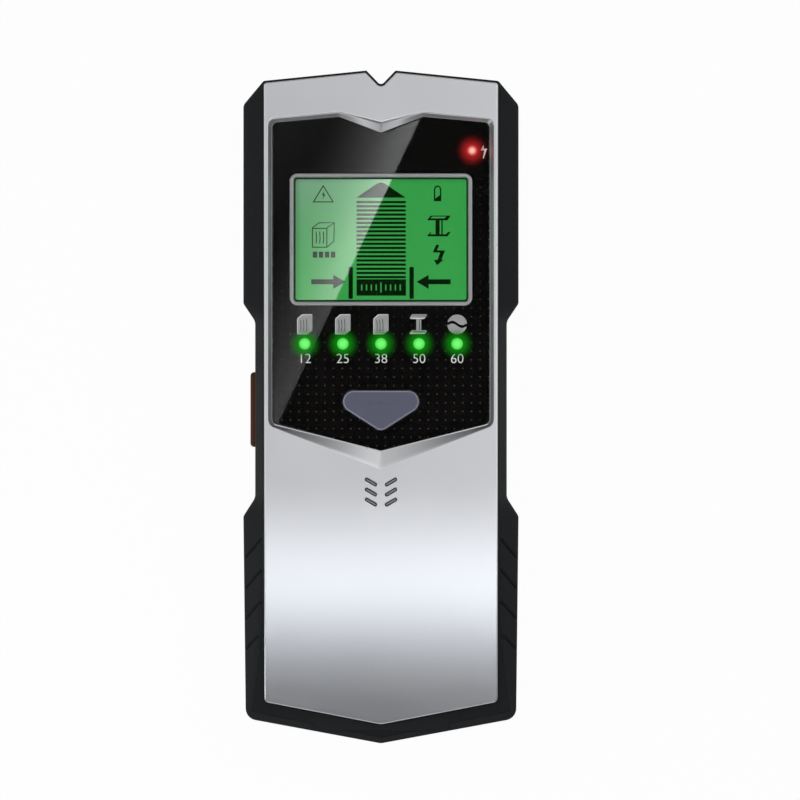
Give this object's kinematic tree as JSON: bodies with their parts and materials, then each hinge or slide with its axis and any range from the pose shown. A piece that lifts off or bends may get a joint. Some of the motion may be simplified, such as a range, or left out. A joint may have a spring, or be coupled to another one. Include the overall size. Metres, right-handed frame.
{
  "type": "stud finder",
  "caption": "Handheld stud finder: silver face with a tall display window, black rubber grips, a marking notch, front and side keys and a sliding battery door.",
  "frame": {"origin": "under the middle of the body, on the plane of its back", "axes": "+Z out of the display face, +Y towards the marking notch, +X to the right seen from the face"},
  "size_m": [0.0688, 0.168, 0.03],
  "materials": {
    "silver_paint": "satin metallic paint on moulded plastic",
    "black_shell": "fine moulded texture",
    "grip_rubber": "soft matte rubber",
    "clear_lens": "polished clear acrylic",
    "film_print": "black printed polyester",
    "bezel_silver": "bright silver paint",
    "lcd_panel": "green lit liquid crystal panel",
    "light_guide": "frosted acrylic",
    "zebra": "conductive silicone",
    "lamp_green": "coloured epoxy",
    "lamp_red": "coloured epoxy",
    "board": "solder mask",
    "chip": "moulded epoxy",
    "key_grey": "smooth silicone",
    "key_red": "coloured plastic",
    "switch_body": "moulded nylon",
    "plunger": "moulded nylon",
    "buzzer": "moulded plastic",
    "copper": "bare copper",
    "battery_can": "plain wrapped can",
    "contact": "nickel plate",
    "snap": "black vinyl",
    "wire_red": "insulation",
    "wire_black": "insulation",
    "screw": "zinc plate"
  },
  "bodies": {
    "case": {"front_cover": "silver_paint", "rear_housing": "black_shell", "grip_sleeve": "grip_rubber", "display_lens": "clear_lens", "graphic_film": "film_print", "lcd_bezel": "bezel_silver", "lcd_glass": "lcd_panel", "lcd_backlight": "light_guide", "zebra_strips": "zebra", "status_leds": "lamp_green", "warning_led": "lamp_red", "main_board": "board", "controller_chip": "chip", "signal_chips": "chip", "mode_switch": "switch_body", "scan_switch": "switch_body", "buzzer": "buzzer", "sensor_board": "board", "sensor_plates": "copper", "metal_coil": "copper", "board_header": "switch_body", "battery": "battery_can", "battery_terminals": "contact", "battery_snap": "snap", "lead_red": "wire_red", "lead_black": "wire_black", "case_screws": "screw", "board_screws": "screw", "sensor_screws": "screw"},
    "scan_key": {"scan_button": "key_red", "scan_plunger": "plunger"},
    "mode_key": {"mode_button": "key_grey", "mode_plunger": "plunger"},
    "door": {"battery_door": "black_shell"}
  },
  "joints": [
    {"name": "scan_press", "type": "slide", "parent": "case", "child": "scan_key", "axis": [1, 0, 0], "range_m": [0, 0.001], "stiffness_N_per_m": 1200},
    {"name": "mode_press", "type": "slide", "parent": "case", "child": "mode_key", "axis": [0, 0, -1], "range_m": [0, 0.0006], "stiffness_N_per_m": 1500},
    {"name": "door_slide", "type": "slide", "parent": "case", "child": "door", "axis": [0, -1, 0], "range_m": [0, 0.052]}
  ]
}
